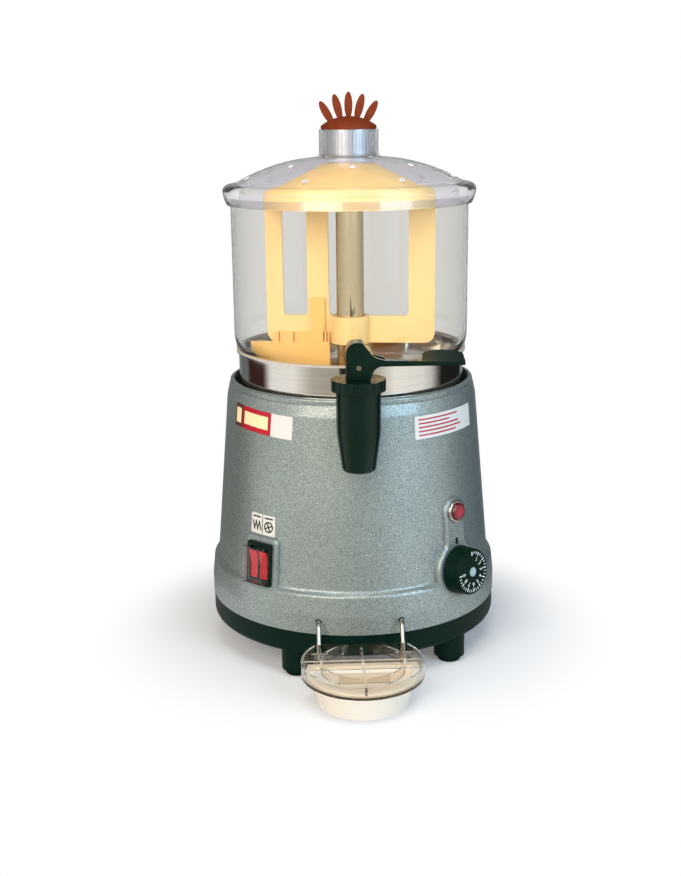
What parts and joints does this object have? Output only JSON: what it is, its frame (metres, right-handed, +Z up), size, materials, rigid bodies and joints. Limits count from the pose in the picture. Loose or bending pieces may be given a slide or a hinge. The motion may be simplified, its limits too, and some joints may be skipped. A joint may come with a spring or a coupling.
{
  "type": "hot chocolate dispenser",
  "caption": "Counter-top hot chocolate dispenser: heated round housing, clear bowl with a turning mixer, domed lid, lever tap, dial, rocker switches and a hanging drip tray.",
  "frame": {"origin": "on the table under the machine's axis", "axes": "+Z up along the axis, the tap and tray face -Y"},
  "size_m": [0.26, 0.3653, 0.4872],
  "materials": {
    "base_black": "semi-matt moulding",
    "foot_rubber": "matt",
    "screw_steel": "zinc plated",
    "housing_paint": "fine hammered grey enamel",
    "tank_steel": "satin stainless",
    "seal_rubber": "matt",
    "heater_steel": "dull sheath",
    "fitting_brass": "turned",
    "thermostat_grey": "phenolic body",
    "spindle_steel": "turned",
    "capillary_copper": "drawn copper",
    "dial_black": "satin with a printed pale scale",
    "dial_silver": "satin",
    "lamp_chrome": "bright",
    "lamp_red": "clear red lens",
    "switch_black": "smooth",
    "rocker_red": "smooth, lit from within",
    "cover_clear": "soft clear splash cover",
    "motor_paint": "dark enamel",
    "bracket_steel": "galvanised sheet",
    "shaft_steel": "ground",
    "terminal_white": "moulded",
    "gland_black": "moulded",
    "pan_steel": "polished stainless",
    "bowl_clear": "clear moulded plastic",
    "mixer_yellow": "pale yellow food-grade moulding",
    "scraper_yellow": "deeper yellow moulding",
    "lid_clear": "clear moulded plastic",
    "sleeve_silver": "satin",
    "cap_brown": "chocolate brown",
    "tap_black": "satin moulding",
    "pin_steel": "turned",
    "spring_steel": "wound wire",
    "wire_chrome": "bright plated wire",
    "tray_clear": "clear moulded plastic",
    "cup_white": "moulded"
  },
  "bodies": {
    "base": {"base_pan": "base_black", "feet": "foot_rubber", "foot_screws": "screw_steel", "outer_shell": "housing_paint", "shell_screws": "screw_steel", "water_tank": "tank_steel", "tank_gasket": "seal_rubber", "heater_element": "heater_steel", "heater_nuts": "fitting_brass", "safety_thermostat": "thermostat_grey", "thermostat_body": "thermostat_grey", "thermostat_capillary": "capillary_copper", "lamp_ring": "lamp_chrome", "lamp_lens": "lamp_red", "switch_body": "switch_black", "switch_cover": "cover_clear", "motor_bracket": "bracket_steel", "bracket_screws": "screw_steel", "gear_motor": "motor_paint", "motor_screws": "screw_steel", "shaft_bushes": "fitting_brass", "terminal_block": "terminal_white", "cable_gland": "gland_black", "tray_hook": "wire_chrome"},
    "drive": {"output_shaft": "shaft_steel", "shaft_coupling": "shaft_steel", "drive_shaft": "shaft_steel"},
    "bowl": {"pan": "pan_steel", "bowl_seal": "seal_rubber", "bowl": "bowl_clear", "tap_body": "tap_black", "tap_nut": "tap_black", "tap_oring": "seal_rubber"},
    "mixer": {"mixer": "mixer_yellow"},
    "scraper": {"scraper": "scraper_yellow"},
    "lid": {"lid": "lid_clear", "neck_sleeve": "sleeve_silver", "knob_cap": "cap_brown"},
    "piston": {"tap_piston": "tap_black", "piston_orings": "seal_rubber", "tap_spring": "spring_steel", "lever_pin": "pin_steel"},
    "lever": {"tap_lever": "tap_black"},
    "rocker_left": {"rocker_left": "rocker_red"},
    "rocker_right": {"rocker_right": "rocker_red"},
    "dial": {"dial": "dial_black", "dial_cap": "dial_silver", "thermostat_spindle": "spindle_steel"},
    "tray": {"drip_frame": "tray_clear"},
    "cup": {"drip_cup": "cup_white"},
    "grid": {"drip_grid": "tray_clear"}
  },
  "joints": [
    {"name": "bowl_lift", "type": "slide", "parent": "base", "child": "bowl", "axis": [0, 0, 1], "range_m": [0, 0.2]},
    {"name": "lid_lift", "type": "slide", "parent": "bowl", "child": "lid", "axis": [0, 0, 1], "range_m": [0, 0.08]},
    {"name": "mixer_spin", "type": "hinge", "parent": "bowl", "child": "mixer", "pos_m": [0, 0, 0.4], "axis": [0, 0, 1], "continuous": true},
    {"name": "drive_spin", "type": "hinge", "parent": "base", "child": "drive", "pos_m": [0, 0, 0.3], "axis": [0, 0, 1], "continuous": true},
    {"name": "scraper_float", "type": "slide", "parent": "mixer", "child": "scraper", "axis": [0, 0, 1], "range_m": [0, 0.006]},
    {"name": "tap_piston_lift", "type": "slide", "parent": "bowl", "child": "piston", "axis": [0, 0, 1], "range_m": [0, 0.0075], "deforming": ["tap_spring"]},
    {"name": "tap_lever_press", "type": "hinge", "parent": "piston", "child": "lever", "pos_m": [0, -0.134, 0.2755], "axis": [0, 1, 0], "range_deg": [0, 35], "stiffness_Nm_per_rad": 0.5, "springref_deg": -11.46},
    {"name": "rocker_left_tip", "type": "hinge", "parent": "base", "child": "rocker_left", "pos_m": [-0.08164, -0.09228, 0.09728], "axis": [-0.749, 0.6626, 0], "range_deg": [0, 16]},
    {"name": "rocker_right_tip", "type": "hinge", "parent": "base", "child": "rocker_right", "pos_m": [-0.08164, -0.09228, 0.09728], "axis": [-0.749, 0.6626, 0], "range_deg": [0, 16]},
    {"name": "dial_turn", "type": "hinge", "parent": "base", "child": "dial", "pos_m": [0.08715, -0.09184, 0.087], "axis": [0.6858, -0.7227, 0.0861], "range_deg": [-285, 0]},
    {"name": "tray_lift", "type": "slide", "parent": "base", "child": "tray", "axis": [0, 0, 1], "range_m": [0, 0.03]},
    {"name": "cup_lift", "type": "slide", "parent": "tray", "child": "cup", "axis": [0, 0, 1], "range_m": [0, 0.03]},
    {"name": "grid_lift", "type": "slide", "parent": "cup", "child": "grid", "axis": [0, 0, 1], "range_m": [0, 0.03]}
  ],
  "couplings": [
    {"joint": "drive_spin", "follows": "mixer_spin", "ratio": 1},
    {"joint": "tap_piston_lift", "follows": "tap_lever_press", "m_per_rad": 0.01227}
  ]
}
